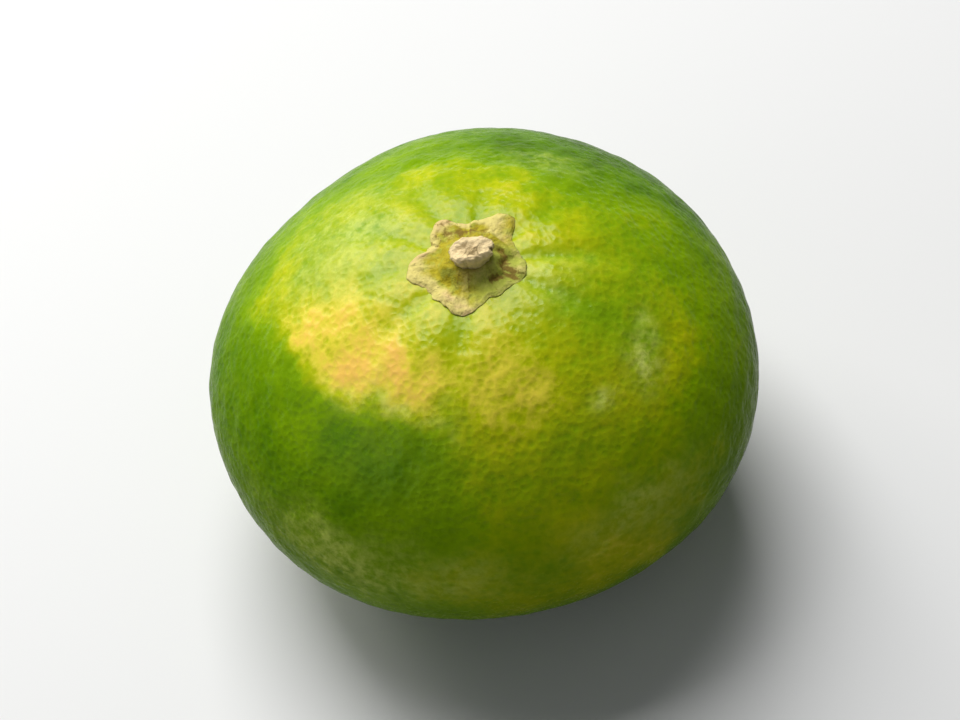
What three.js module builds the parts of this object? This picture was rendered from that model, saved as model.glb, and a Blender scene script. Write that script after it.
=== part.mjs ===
// A satsuma mandarin picked green and turning yellow, standing on its blossom end, stem end up.
// Millimetres, +Z up. The origin is under the middle of the fruit, on the surface that it rests on.
// It is three pieces: the fruit, the five-lobed calyx that lies on its crown, and the cut stub of its stem.

import * as THREE from "three";
import { mergeVertices } from "three/addons/utils/BufferGeometryUtils.js";

// The fruit's outline
const EQUATOR_RADIUS = 30;
const HALF_HEIGHT = 23.6; // from the middle to either end, before the two ends are hollowed
const SHOULDER_TAPER = 0.022; // how much the upper half falls inside a plain ellipse, as a share
const BASE_TAPER = 0.004; // the same for the lower half
const WIDEST_DROP = 0.4; // how far the widest ring lies below the middle
const BROADENING = 0.012; // wider along X and narrower along Y by this share
const CROWN_LEAN = { x: 1.0, y: -2.2 }; // how far the stem end stands off the middle

// The hollow at the stem end, and the creases that run out of it between the segments
const BASIN_DEPTH = 1.6;
const BASIN_RADIUS = 6.4;
const CREASES = 10;
const CREASE_DEPTH = 0.45;
const CREASE_SHARPNESS = 2;
const CREASE_PEAK_RADIUS = 9; // where they are deepest
const CREASE_DRIFT = { size: 0.9, waves: 2, turn: 1 }; // how unevenly they are spaced
const CREASE_FADING = { size: 0.35, waves: 3, turn: 2.2 }; // how much shallower some are than others

// The hollow at the blossom end, and the flat ring that the fruit rests on round it
const NAVEL_DEPTH = 2.6;
const NAVEL_RADIUS = 8.5;
const REST_TRIM = 0.2; // what the fruit's own weight presses flat
const REST_SEARCH = { from: 135, to: 180, steps: 400 }; // degrees from the stem end, round the lowest ring

// Slow waves round the fruit, and soft flats and bulges at single places on it
const WAVES = [
  { lobes: 2, height: 0.22, turn: 0.7 },
  { lobes: 3, height: 0.26, turn: 2.0 },
  { lobes: 5, height: 0.12, turn: 4.1 },
];
const SWELLINGS = [
  { azimuth: 122, polar: 66, spread: 24, height: -0.55 },
  { azimuth: 220, polar: 107, spread: 22, height: 0.4 },
  { azimuth: 20, polar: 92, spread: 20, height: -0.4 },
  { azimuth: 305, polar: 118, spread: 18, height: -0.3 },
];

// The calyx: five blunt lobes, each with its direction, its reach, and the reach of the notch that follows it
const LOBES = [
  { azimuth: 53, reach: 7.0, notch: 4.9 },
  { azimuth: 116, reach: 6.7, notch: 5.0 },
  { azimuth: 177, reach: 7.0, notch: 5.8 },
  { azimuth: 251, reach: 6.8, notch: 5.1 },
  { azimuth: 335, reach: 5.8, notch: 4.8 },
];
const LOBE_SHARPNESS = 1.25;
const CALYX_GAP = 0.25; // between the skin and the underside
const LOBE_THICKNESS = 0.7;
const SEAT_THICKNESS = 1.35; // of the raised middle that the stub stands on
const SEAT_RADIUS = 2.5;
const SEAT_FOOT_RADIUS = 3.9; // where its slope meets the lobes

// The stub of the stem: a knob that is narrower at its foot, wider than deep, and cut a little askew
const STUB_RADIUS = 2.2;
const STUB_HEIGHT = 2.0;
const STUB_STRETCH = { x: 1.06, y: 0.82 };
const STUB_OFFSET = -0.35; // how far it stands off the calyx's middle along Y
const CUT_SLOPE = 0.09;
const STUB_GAP = 0.1; // between its foot and the calyx
const STUB_PROFILE = [
  // shares of the radius and of the height, up the side and in over the cut face
  [0, 0],
  [0.91, 0],
  [0.91, 0.12],
  [0.93, 0.25],
  [0.99, 0.42],
  [1.05, 0.6],
  [1.06, 0.76],
  [0.97, 0.89],
  [0.78, 0.97],
  [0.5, 1],
  [0, 0.94],
];

// How finely the surfaces are divided
const FRUIT_COLUMNS = 80;
const FRUIT_ROWS = 54;
const POLE_CROWDING = 0.34; // rows stand closer near the two ends
const CALYX_COLUMNS = 60;
const CALYX_ROWS = 18;
const STUB_COLUMNS = 28;

const MERGE_DISTANCE = 1e-4; // points closer than this are one point

const LOOKS = {
  rind: { color: 0x6f9a12, roughness: 0.42 },
  calyx: { color: 0xa89a5a, roughness: 0.8 },
  stem: { color: 0xc9b48c, roughness: 0.85 },
};

const radians = THREE.MathUtils.degToRad;

// Cosine of the angle between two directions given as polar angle and azimuth.
function closeness(polarA, azimuthA, polarB, azimuthB) {
  const level = Math.cos(polarA) * Math.cos(polarB);
  return level + Math.sin(polarA) * Math.sin(polarB) * Math.cos(azimuthA - azimuthB);
}

// How far the skin stands off the plain outline at one place.
function unevenness(polar, azimuth) {
  const reach = Math.sin(polar) ** 2;
  let height = 0;
  for (const wave of WAVES) {
    height += reach * wave.height * Math.cos(wave.lobes * azimuth + wave.turn);
  }
  for (const s of SWELLINGS) {
    const away = 1 - closeness(polar, azimuth, radians(s.polar), radians(s.azimuth));
    height += s.height * Math.exp(-away / (1 - Math.cos(radians(s.spread))));
  }
  return height;
}

// A sine wave of the azimuth.
function swing(azimuth, wave) {
  return wave.size * Math.sin(azimuth * wave.waves + wave.turn);
}

// Depth of the creases at one place: troughs between segments, deepest a little way out from the stem.
function creaseDepth(polar, azimuth) {
  if (polar > Math.PI / 2) return 0;
  const out = (EQUATOR_RADIUS * Math.sin(polar)) / CREASE_PEAK_RADIUS;
  const fade = out ** 2 * Math.exp(1 - out ** 2);
  const across = (1 + Math.cos(CREASES * azimuth + swing(azimuth, CREASE_DRIFT))) / 2;
  const share = 1 - CREASE_FADING.size + swing(azimuth, CREASE_FADING);
  return CREASE_DEPTH * fade * share * across ** CREASE_SHARPNESS;
}

// The point of the skin at a polar angle, 0 at the stem end, and an azimuth, before it is set on the ground.
function skin(polar, azimuth, creased = true) {
  const sine = Math.sin(polar);
  const cosine = Math.cos(polar);
  const taper = 1 - (cosine > 0 ? SHOULDER_TAPER : BASE_TAPER) * Math.sin(2 * polar) ** 2;
  const plainRadius = EQUATOR_RADIUS * sine * taper;
  const off = unevenness(polar, azimuth);
  const radius = plainRadius + off * sine;
  let z = HALF_HEIGHT * cosine * taper + off * cosine - WIDEST_DROP * sine ** 2;
  if (cosine > 0) z -= BASIN_DEPTH * Math.exp(-((plainRadius / BASIN_RADIUS) ** 2));
  else z += NAVEL_DEPTH * Math.exp(-((plainRadius / NAVEL_RADIUS) ** 2));
  if (creased) z -= creaseDepth(polar, azimuth);
  const lean = ((1 + cosine) / 2) ** 2;
  return new THREE.Vector3(
    radius * Math.cos(azimuth) * (1 + BROADENING) + CROWN_LEAN.x * lean,
    radius * Math.sin(azimuth) * (1 - BROADENING) + CROWN_LEAN.y * lean,
    z,
  );
}

// The height at which the fruit is pressed flat, just above its lowest ring.
function restLevel() {
  const { from, to, steps } = REST_SEARCH;
  let lowest = Infinity;
  for (let step = 0; step <= steps; step++) {
    const polar = radians(THREE.MathUtils.lerp(from, to, step / steps));
    lowest = Math.min(lowest, skin(polar, 0, false).z);
  }
  return lowest + REST_TRIM;
}

const GROUND = restLevel();

// A unit sphere, Z up, whose every vertex is moved to place(polar angle, azimuth).
function mappedSphere(columns, rows, place) {
  const sphere = new THREE.SphereGeometry(1, columns, rows).rotateX(Math.PI / 2);
  sphere.deleteAttribute("normal");
  sphere.deleteAttribute("uv");
  const geometry = mergeVertices(sphere, MERGE_DISTANCE);
  const position = geometry.attributes.position;
  const direction = new THREE.Vector3();
  for (let i = 0; i < position.count; i++) {
    direction.fromBufferAttribute(position, i);
    const polar = Math.acos(THREE.MathUtils.clamp(direction.z, -1, 1));
    const point = place(polar, Math.atan2(direction.y, direction.x));
    position.setXYZ(i, point.x, point.y, point.z);
  }
  geometry.computeVertexNormals();
  return geometry;
}

function fruitGeometry() {
  return mappedSphere(FRUIT_COLUMNS, FRUIT_ROWS, (polar, azimuth) => {
    const point = skin(polar - POLE_CROWDING * Math.sin(2 * polar), azimuth);
    point.z = Math.max(point.z - GROUND, 0);
    return point;
  });
}

// An angle in degrees brought between 0 and 360.
function wrapped(degrees) {
  return THREE.MathUtils.euclideanModulo(degrees, 360);
}

// How far the calyx reaches from its middle at one azimuth: a soft peak at each lobe, a notch between lobes.
function calyxReach(azimuth) {
  let reach = 0;
  LOBES.forEach((lobe, i) => {
    const before = LOBES[(i + LOBES.length - 1) % LOBES.length];
    const after = LOBES[(i + 1) % LOBES.length];
    const turn = wrapped(THREE.MathUtils.radToDeg(azimuth) - lobe.azimuth + 180) - 180;
    const gap = turn < 0 ? wrapped(lobe.azimuth - before.azimuth) : wrapped(after.azimuth - lobe.azimuth);
    const notch = turn < 0 ? before.notch : lobe.notch;
    const share = Math.abs(turn) / (gap / 2);
    if (share <= 1) {
      const peak = ((1 + Math.cos(Math.PI * share)) / 2) ** LOBE_SHARPNESS;
      reach = THREE.MathUtils.lerp(notch, lobe.reach, peak);
    }
  });
  return reach;
}

// Height of the seat that the stub stands on, above the ground.
const SEAT = skin(0, 0).z - GROUND + CALYX_GAP + SEAT_THICKNESS;

// The upper half of the sphere becomes the calyx's top, the lower half its underside, which follows the skin.
function calyxGeometry() {
  return mappedSphere(CALYX_COLUMNS, CALYX_ROWS, (polar, azimuth) => {
    const out = Math.sin(polar) * calyxReach(azimuth);
    const point = skin(out / EQUATOR_RADIUS, azimuth, false);
    const underside = point.z - GROUND + CALYX_GAP;
    point.z = underside;
    if (Math.cos(polar) > 0) {
      const rim = Math.sqrt(Math.cos(polar));
      const fall = THREE.MathUtils.smoothstep(out, SEAT_RADIUS, SEAT_FOOT_RADIUS);
      const lobeTop = underside + LOBE_THICKNESS * rim;
      point.z = THREE.MathUtils.lerp(SEAT, lobeTop, fall);
    }
    return point;
  });
}

function stubGeometry() {
  const profile = STUB_PROFILE.map(([out, up]) => new THREE.Vector2(STUB_RADIUS * out, STUB_HEIGHT * up));
  const turned = new THREE.LatheGeometry(profile, STUB_COLUMNS).rotateX(Math.PI / 2);
  turned.deleteAttribute("normal");
  turned.deleteAttribute("uv");
  const geometry = mergeVertices(turned, MERGE_DISTANCE);
  const position = geometry.attributes.position;
  for (let i = 0; i < position.count; i++) {
    const x = position.getX(i);
    const y = position.getY(i);
    const z = position.getZ(i);
    const askew = (z / STUB_HEIGHT) * CUT_SLOPE * (x - y);
    position.setXYZ(i, x * STUB_STRETCH.x, y * STUB_STRETCH.y, z + askew);
  }
  geometry.computeVertexNormals();
  return geometry;
}

function piece(name, geometry, look) {
  const mesh = new THREE.Mesh(geometry, new THREE.MeshStandardMaterial({ ...look, metalness: 0 }));
  mesh.name = name;
  return mesh;
}

const stub = piece("stem_stub", stubGeometry(), LOOKS.stem);
stub.position.set(CROWN_LEAN.x, CROWN_LEAN.y + STUB_OFFSET, SEAT + STUB_GAP);

const mandarin = new THREE.Group();
mandarin.add(piece("fruit", fruitGeometry(), LOOKS.rind));
mandarin.add(piece("calyx", calyxGeometry(), LOOKS.calyx));
mandarin.add(stub);

export default mandarin;
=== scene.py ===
"""Looks of a satsuma mandarin picked green: its rind, its dry calyx and the cut stub of its stem.

Laid out as an add-on and run as a script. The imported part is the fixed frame, and each piece made here stands
for one of its nodes. Metres, +Z up, with the origin on the floor under the middle of the fruit. Azimuth 0
points along +X, and polar angle 0 is at the stem.
"""

import itertools
import math
from collections import namedtuple
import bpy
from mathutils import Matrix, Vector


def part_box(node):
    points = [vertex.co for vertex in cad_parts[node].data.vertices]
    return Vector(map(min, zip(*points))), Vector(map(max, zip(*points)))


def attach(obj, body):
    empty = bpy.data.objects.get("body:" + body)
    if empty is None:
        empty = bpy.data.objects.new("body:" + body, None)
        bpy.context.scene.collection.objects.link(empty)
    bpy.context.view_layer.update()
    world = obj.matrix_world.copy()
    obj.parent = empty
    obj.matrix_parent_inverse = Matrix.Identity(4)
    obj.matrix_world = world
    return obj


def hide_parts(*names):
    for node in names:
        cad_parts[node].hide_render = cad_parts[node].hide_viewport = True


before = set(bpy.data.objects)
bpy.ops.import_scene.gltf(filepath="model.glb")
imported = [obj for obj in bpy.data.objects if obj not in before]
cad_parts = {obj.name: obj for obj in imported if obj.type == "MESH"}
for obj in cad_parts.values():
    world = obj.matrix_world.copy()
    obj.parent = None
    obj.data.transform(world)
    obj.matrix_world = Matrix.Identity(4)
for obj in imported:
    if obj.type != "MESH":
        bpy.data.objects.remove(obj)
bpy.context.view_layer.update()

from types import SimpleNamespace

import bpy
import numpy as np
from bpy.props import FloatProperty, FloatVectorProperty, IntProperty, PointerProperty
from mathutils import Matrix, Vector

bl_info = {
    "name": "Satsuma Mandarin",
    "version": (1, 0, 0),
    "blender": (4, 5, 0),
    "location": "3D View > Sidebar > Mandarin",
    "description": "Builds the rind, calyx and stem stub of a green satsuma mandarin round its packed part",
    "category": "Add Mesh",
}

MM = 0.001
BODY = "root"
FRUIT_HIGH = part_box("fruit")[1]
STUB_LOW, STUB_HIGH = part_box("stem_stub")

# The fruit's outline, as the part's source gives it
EQUATOR_RADIUS = 30 * MM
HALF_HEIGHT = 23.6 * MM
SHOULDER_TAPER = 0.022
BASE_TAPER = 0.004
WIDEST_DROP = 0.4 * MM
BROADENING = 0.012
CROWN_LEAN = (1.0 * MM, -2.2 * MM)
BASIN_DEPTH = 1.6 * MM
BASIN_RADIUS = 6.4 * MM
NAVEL_DEPTH = 2.6 * MM
NAVEL_RADIUS = 8.5 * MM
REST_TRIM = 0.2 * MM
CREASES = 10
CREASE_DEPTH = 0.45 * MM
CREASE_PEAK_RADIUS = 9 * MM
CREASE_DRIFT = 0.9

# Slow waves round the fruit: how many, how high, and where they start
WAVES = ((2, 0.22 * MM, 0.7), (3, 0.26 * MM, 2.0), (5, 0.12 * MM, 4.1))

# Soft flats and bulges: azimuth and polar angle in degrees, spread in degrees, height
SWELLINGS = (
    (122, 66, 24, -0.55 * MM),
    (220, 107, 22, 0.4 * MM),
    (20, 92, 20, -0.4 * MM),
    (305, 118, 18, -0.3 * MM),
)

# The rind's own relief
PEBBLE_SPACING = 3.2 * MM
SCAR_EDGE = (1.1 * MM, 1.7 * MM)
SCAR_RAGGEDNESS = 0.15 * MM
SCAR_DEPTH = 0.12 * MM
WRINKLES = 14
WRINKLE_START = (1 * MM, 3 * MM)
WRINKLE_END = (3 * MM, 6 * MM)
WRINKLE_HEIGHT = 0.05 * MM
REST_SOFTNESS = 0.12 * MM

# The shift that makes the edges of marks uneven, and the lengths of its waves
MARK_SHIFT = 0.9 * MM
LONG_SHIFTS = 9 * MM
SHORT_SHIFTS = 3 * MM

# Ripeness without marks: low down, its gain at the stem, and the polar angles between
PLAIN_RIPENESS = 0.30
CROWN_RIPENESS = 0.28
CROWN_SPAN = (12, 70)

# Polar angles between which painted shade darkens the skin's colour, and the side where that painted shade is
# strongest
PAINTED_SHADE_SPAN = (48, 100)
PAINTED_SHADE_SIDE = 305

# Polar angles between which the gloss fades, how much sooner on the dullest side, and that side
GLOSS_FADE = (24, 60)
GLOSS_LEAN = 14
DULLEST_SIDE = 80

# Sizes of the rind's colour patterns
BLOTCH_SIZE = 4.5 * MM
WAX_PATCH_SIZE = 1.4 * MM
SPECKLE_SIZE = 0.7 * MM

# The calyx's lobes: azimuth in degrees, reach, and the reach of the notch that follows each
LOBES = (
    (53, 7.0 * MM, 4.9 * MM),
    (116, 6.7 * MM, 5.0 * MM),
    (177, 7.0 * MM, 5.8 * MM),
    (251, 6.8 * MM, 5.1 * MM),
    (335, 5.8 * MM, 4.8 * MM),
)
LOBE_SHARPNESS = 1.25

# Lines on the calyx, as places to the right of its middle and behind it, in millimetres
# The hollows are sunk and also painted with shade
CALYX_HOLLOWS = (((1.8, -2.6), (2.6, -2.6), (3.8, -2.9)), ((3.0, 0.4), (3.3, -1.4), (3.8, -2.9)))
CALYX_BROWN_LINES = (((-2.3, 4.0), (-0.4, 3.8), (1.6, 3.4)), ((-1.0, 6.3), (-1.7, 5.6)))
CALYX_STREAKS = (((-0.6, -2.6), (-0.6, -4.7)),)
CALYX_PALE_BANDS = (
    ((-1.9, 5.9), (-3.7, 4.9), (-6.2, 0.2), (-4.1, -3.3), (-1.8, -5.9)),
    ((2.6, 5.3), (3.0, 2.8)),
)
LINE_DRIFT = 0.12

# Azimuths in degrees of the side where the calyx's rim is painted in shade, of its fresher side, and of the
# side where its seat is painted paler as painted light
RIM_SHADED_SIDE = 345
FRESH_SIDE = 320
PAINTED_LIGHT_SIDE = 275

# The calyx's grid and measures
CALYX_COLUMNS = 300
CALYX_RINGS = 64
CALYX_UNDER_RINGS = 12
CALYX_BEDDING = 0.15 * MM
CALYX_CIRCLE = 6 * MM
CALYX_LEAST_LIFT = 0.12 * MM
RIB_WIDTH = 0.45 * MM
GULLY_WIDTH = 0.5 * MM

# The stub's outline from its foot's middle to its face's, in shares of the foot's or top's radius and height
STUB_FOOT = ((0.0, -0.1), (0.7, -0.1), (0.97, -0.06), (1.0, 0.1), (1.02, 0.25))
STUB_TOP = (
    (0.99, 0.42), (1.05, 0.6), (1.06, 0.76), (0.97, 0.89),
    (0.78, 0.97), (0.5, 1.0), (0.22, 0.96), (0.0, 0.93),
)
STUB_COLUMNS = 220
STUB_RINGS = 94
STUB_WIDENING = 1.06
STUB_NARROWING = 0.79
STUB_SLANT = 0.09
NOTCH_SIDE = 345
NOTCH_WIDTH = 0.3

# The pith's middle and width, in shares of the stub's radius, and its depth
PITH_X, PITH_Y = 0.05, -0.3
PITH_WIDTH = 0.4
PITH_DEPTH = 0.16 * MM

# A mark on the rind: its middle as azimuth and polar angle in degrees, its half width and half length in
# millimetres, the level it brings the rind to, its turn in degrees, and its edge's crispness
Mark = namedtuple("Mark", "azimuth polar width length level turn crispness", defaults=(0, 1.0))


def marks(*rows):
    """Marks from rows of their values."""
    return [Mark(*row) for row in rows]


# How ripe the rind is, from 0, deep green, through 0.5, lime, and 0.8, yellow, to 1, orange-yellow
# The deep green marks low at the back, at azimuths 88 and 36 and polar angle 56, are deep green skin darkened
# further as painted shade
RIPENESS_MARKS = marks(
    (88, 56, 20, 12, 0.08), (79, 42, 10, 7, 0.20),
    (36, 56, 15, 13, 0.08), (10, 38, 8, 7, 0.42),
    (345, 38, 10, 9, 0.43), (345, 68, 13, 9, 0.36),
    (320, 50, 7, 5, 0.57), (185, 62, 10, 8, 0.20, 0, 1.2),
    (228, 56, 13, 6, 0.18, 0, 1.2), (214, 56, 3, 5, 0.36),
    (285, 62, 15, 9, 0.50), (265, 86, 17, 9, 0.46),
    (168, 45, 6, 5, 0.56), (140, 36, 7, 6, 0.50),
    (105, 46, 9, 7, 0.34), (100, 22, 4, 4, 0.61),
    (40, 14, 5.5, 1.6, 0.67), (62, 18, 1.2, 3.0, 0.64),
    (118, 26, 4.0, 3.6, 0.62), (88, 19, 2.8, 4.5, 0.40),
    (75, 24, 2.6, 3.4, 0.50), (15, 20, 5, 5, 0.55),
    (310, 30, 6, 6, 0.50), (268, 26, 6, 6, 0.66),
    (284, 41, 4.5, 4, 0.50), (271, 33, 3.4, 3.4, 0.70),
    (294, 84, 9, 6, 0.58), (190, 36.5, 4.9, 2.8, 0.82, 0, 1.2),
    (183, 27, 4.0, 2.2, 0.66, 0, 1.2), (213, 28.5, 6.0, 3.8, 0.83, 0, 1.3),
    (239, 27.5, 5.0, 2.9, 0.81, 0, 1.3), (208, 31, 3.0, 2.0, 0.92),
    (226, 28, 2.6, 1.8, 0.91), (100, 84, 10, 8, 0.48, 20),
    (30, 104, 8, 9, 0.42), (150, 118, 10, 7, 0.36),
    (330, 128, 9, 8, 0.42),
)

# Pale wax and dulled skin, 0 to 1, with painted sheen: the broad mark at azimuth 150 is a painted highlight,
# and the pale marks low on the front, at polar angles 73 to 81, are painted reflections
WAX_AND_SHEEN_MARKS = marks(
    (150, 28, 6, 8, 0.52), (228, 35, 7.0, 1.8, 0.55, 0, 1.2),
    (328, 13, 3, 3, 0.5), (231, 81, 8.5, 3.6, 0.72),
    (54.5, 36.5, 2.3, 0.8, 0.8, -36), (57, 34, 5.0, 2.6, 0.3, -36),
    (253, 78, 6, 2.6, 0.45), (299, 73, 7, 2.8, 0.55),
    (70, 95, 8, 5, 0.35, 30),
)

# Painted highlights: compact pale spots in the wax's colour, with plain oval edges
PAINTED_HIGHLIGHT_SPOTS = marks(
    (320.5, 43, 1.7, 2.4, 1.0, 45), (332, 39.5, 1.0, 1.8, 0.5, 45),
    (303, 42, 1.2, 0.9, 0.9),
)

# Rubbed and healed places, 0 to 1
SCUFF_MARKS = marks(
    (55, 36, 1.8, 0.5, 0.55, -36), (265, 34, 0.5, 1.3, 0.6, 20, 1.6),
    (270, 36, 0.8, 0.4, 0.5, 0, 1.6), (120, 100, 0.6, 3.0, 0.9, 30, 1.6),
    (10, 78, 1.8, 0.6, 0.8, -35, 1.6),
)

# The floor's rings, as shares of its radius, and the room's light
FLOOR_COLUMNS = 96
FLOOR_RINGS = (0.05, 0.2, 0.5, 1.0)
ROOM_COLOUR = (0.93, 0.96, 1.0, 1.0)
ROOM_STRENGTH = 0.13

# A lamp: its direction from the fruit, its distance from it, its width and its colour
Lamp = namedtuple("Lamp", "direction distance width tint")
KEY = Lamp((-0.50, 0.70, 0.50), 0.7, 0.4, (1.0, 0.98, 0.95))
ABOVE = Lamp((-0.11, 0.50, 0.86), 0.9, 0.6, (1.0, 1.0, 1.0))
FILL = Lamp((-0.80, -0.40, 0.45), 0.8, 0.5, (0.95, 0.98, 1.0))


def length(name, description, default):
    """A length that a user may change."""
    return FloatProperty(
        name=name, description=description, default=default, min=0.0, precision=5, unit="LENGTH"
    )


def share(name, description, default):
    """A share from 0 to 1 that a user may change."""
    return FloatProperty(
        name=name, description=description, default=default, min=0.0, max=1.0, subtype="FACTOR"
    )


def colour(name, description, default):
    """A colour that a user may change."""
    return FloatVectorProperty(
        name=name, description=description, default=default, size=3, min=0.0, max=1.0, subtype="COLOR"
    )


def angle(name, description, degrees):
    """An angle that a user may change, given in degrees."""
    return FloatProperty(
        name=name, description=description, default=math.radians(degrees), subtype="ANGLE"
    )


def power(name, description, default):
    """A lamp's power that a user may change."""
    return FloatProperty(name=name, description=description, default=default, min=0.0, unit="POWER")


class RindSettings(bpy.types.PropertyGroup):
    """Sizes and colours of the rind."""

    divisions: IntProperty(
        name="Divisions", description="Squares along each edge of the six grids that make the rind",
        default=126, min=8, max=128,
    )
    gland_spacing: length("Gland spacing", "Distance between the larger oil glands", 1.2 * MM)
    gland_depth: length("Gland depth", "Depth of the dimple over a larger oil gland", 0.06 * MM)
    pebble_height: length("Pebble height", "Height of the soft pebbling of the skin", 0.03 * MM)
    fine_gland_spacing: length("Fine gland spacing", "Distance between the smaller oil glands", 0.8 * MM)
    fine_gland_depth: length("Fine gland depth", "Depth of the dimple over a smaller oil gland", 0.045 * MM)
    roughness: share("Roughness", "Roughness of the waxy skin", 0.25)
    gloss: share("Gloss", "How strongly the skin mirrors light round the stem", 0.18)
    side_gloss: share("Side gloss", "How strongly the dustier sides mirror light", 0.01)
    deep_green: colour("Deep green", "Skin that hasn't begun to turn", (0.030, 0.075, 0.001))
    green: colour("Green", "Ordinary green skin", (0.095, 0.215, 0.001))
    lime: colour("Lime", "Skin that begins to turn", (0.205, 0.355, 0.001))
    yellow_green: colour("Yellow-green", "Half turned skin", (0.43, 0.49, 0.002))
    yellow: colour("Yellow", "Turned skin", (0.76, 0.65, 0.05))
    orange: colour("Orange-yellow", "The ripest skin", (0.92, 0.57, 0.105))
    # The wax colour is also used for the painted sheen, highlights and reflections
    wax_and_sheen: colour("Haze", "Pale wax on the skin", (0.63, 0.72, 0.14))
    scuff: colour("Scuff", "Healed and rubbed places", (0.68, 0.66, 0.26))
    scar: colour("Scar", "The corky scar at the blossom end", (0.20, 0.11, 0.04))


class CalyxSettings(bpy.types.PropertyGroup):
    """Sizes and colours of the calyx."""

    lobe_thickness: length("Lobe thickness", "Thickness of a lobe between its rim and the middle", 0.20 * MM)
    rim_height: length("Rim height", "How far the corky rim stands above a lobe", 0.09 * MM)
    seat_height: length("Seat height", "Height of the seat under the stub above the skin", 1.6 * MM)
    seat_radius: length("Seat radius", "Radius of the seat under the stub", 2.9 * MM)
    rim: colour("Rim", "The pale corky rim", (0.74, 0.63, 0.20))
    blush: colour("Blush", "Pinkish parts of the rim", (0.72, 0.53, 0.23))
    lobe: colour("Lobe", "The inside of the lobes", (0.45, 0.38, 0.012))
    fresh: colour("Fresh", "Lobes that haven't dried yet", (0.42, 0.46, 0.06))
    # Also the colour of the painted shade in the gully and hollows
    shade: colour("Shade", "Dried brown creases", (0.20, 0.12, 0.015))


class StubSettings(bpy.types.PropertyGroup):
    """Sizes and colours of the stub of the stem."""

    radius: length("Radius", "Radius of the stub below its top", 2.08 * MM)
    height: length("Height", "Height of the stub above the calyx", 1.75 * MM)
    waist: length("Waist", "How much narrower it is at its foot", 0.2 * MM)
    wood: colour("Wood", "The cut face", (0.87, 0.68, 0.37))
    bark: colour("Bark", "The side of the stub", (0.67, 0.55, 0.26))
    # Also the colour of the painted shade round the stub's foot
    cracks_and_shade: colour("Crack", "Cracks and pores", (0.13, 0.085, 0.02))


class StageSettings(bpy.types.PropertyGroup):
    """The floor, lights and camera."""

    floor_radius: length("Floor radius", "Radius of the round floor", 3.0)
    floor_colour: colour("Floor colour", "Colour of the floor", (0.76, 0.76, 0.755))
    elevation: angle("Elevation", "How steeply the camera looks down", 57)
    roll: angle("Roll", "How far the camera is rolled", 10)
    distance: length("Distance", "From the camera to the middle of the fruit", 0.26)
    lens: FloatProperty(name="Lens", description="Focal length in millimetres", default=87.6, min=1.0)
    key_power: power("Key power", "Power of the key light", 1.9)
    fill_power: power("Fill power", "Power of the fill light", 0.35)
    top_power: power("Top power", "Power of the light above", 8.5)


def smooth(values, low, high):
    """0 below low and 1 above high, with a soft S between them: 3t^2 - 2t^3 of the share t."""
    t = np.clip((values - low) / (high - low), 0, 1)
    return t * t * (3 - 2 * t)


def bell(values, width):
    """1 at 0 and falling away on both sides of it: exp(-(v/width)^2)."""
    return np.exp(-((values / width) ** 2))


def facing(azimuth, degrees):
    """From 1 on the side at an azimuth in degrees to -1 on the far side: a cosine."""
    return np.cos(azimuth - math.radians(degrees))


def turn_from(azimuth, start):
    """The shortest turn from a start to each azimuth, from -pi to pi."""
    return (azimuth - start + math.pi) % (2 * math.pi) - math.pi


def round_angles(columns):
    """Evenly spaced angles once round."""
    return np.arange(columns) * 2 * math.pi / columns


def circle(azimuth, radius):
    """Points on a level circle round the origin."""
    return np.stack([np.cos(azimuth), np.sin(azimuth), 0 * azimuth], axis=-1) * radius


def ripple(points, wavelength, seed, waves=24):
    """Seeded unevenness with a spread of about 1 round 0.

    It is the sum of sine waves in random directions, each about one wavelength long.
    """
    draw = np.random.default_rng(seed)
    directions = draw.normal(size=(waves, 3))
    directions /= np.linalg.norm(directions, axis=1, keepdims=True)
    lengths = wavelength * draw.uniform(0.7, 1.4, (waves, 1))
    starts = draw.uniform(0, 2 * math.pi, waves)
    turns = points @ (2 * math.pi * directions / lengths).T + starts
    return np.sin(turns).sum(axis=1) / math.sqrt(waves / 2)


def rough(grid, wavelength, seed):
    """Seeded unevenness of a grid of points, in the shape of the grid."""
    return ripple(grid.reshape(-1, 3), wavelength, seed, 40).reshape(grid.shape[:-1])


def cell_jitter(cells):
    """Three numbers from 0 to 1 for each whole-numbered cell, always the same for the same cell.

    They are the fractions of large multiples of sines of mixed cell numbers.
    """
    mixed = np.sin(cells @ np.array([[127.1, 269.5, 113.5], [311.7, 183.3, 271.9], [74.7, 246.1, 124.6]]))
    spread = mixed * 43758.5453
    return spread - np.floor(spread)


def gland_dimples(points, normals, spacing):
    """How deep each point lies in the dimple of an oil gland, from 0 to 1, with about one gland a spacing.

    Each cube of space holds one gland. Those within half a spacing of the skin count, and the depth over one
    is exp(-(d/r)^2), with d the distance from it along the skin and r its own radius.
    """
    scaled = points / spacing
    home = np.floor(scaled)
    deepest = np.zeros(len(points))
    for step in itertools.product((-1, 0, 1), repeat=3):
        cells = home + np.array(step)
        place = cell_jitter(cells)
        offset = cells + place - scaled
        above = (offset * normals).sum(axis=1)
        along = (offset**2).sum(axis=1) - above**2
        radius = 0.24 + 0.12 * place[:, 0]
        near = 1 - smooth(np.abs(above), 0.42, 0.56)
        deepest = np.maximum(deepest, near * np.exp(-along / radius**2))
    return deepest


def unevenness(polar, azimuth):
    """How far the skin stands off its plain outline: slow waves, and soft humps and flats."""
    waves = sum(high * np.cos(count * azimuth + start) for count, high, start in WAVES)
    height = waves * np.sin(polar) ** 2
    for hump_azimuth, hump_polar, spread, high in SWELLINGS:
        p = math.radians(hump_polar)
        near = np.cos(polar) * math.cos(p) + np.sin(polar) * math.sin(p) * facing(azimuth, hump_azimuth)
        height = height + high * np.exp(-(1 - near) / (1 - math.cos(math.radians(spread))))
    return height


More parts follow.
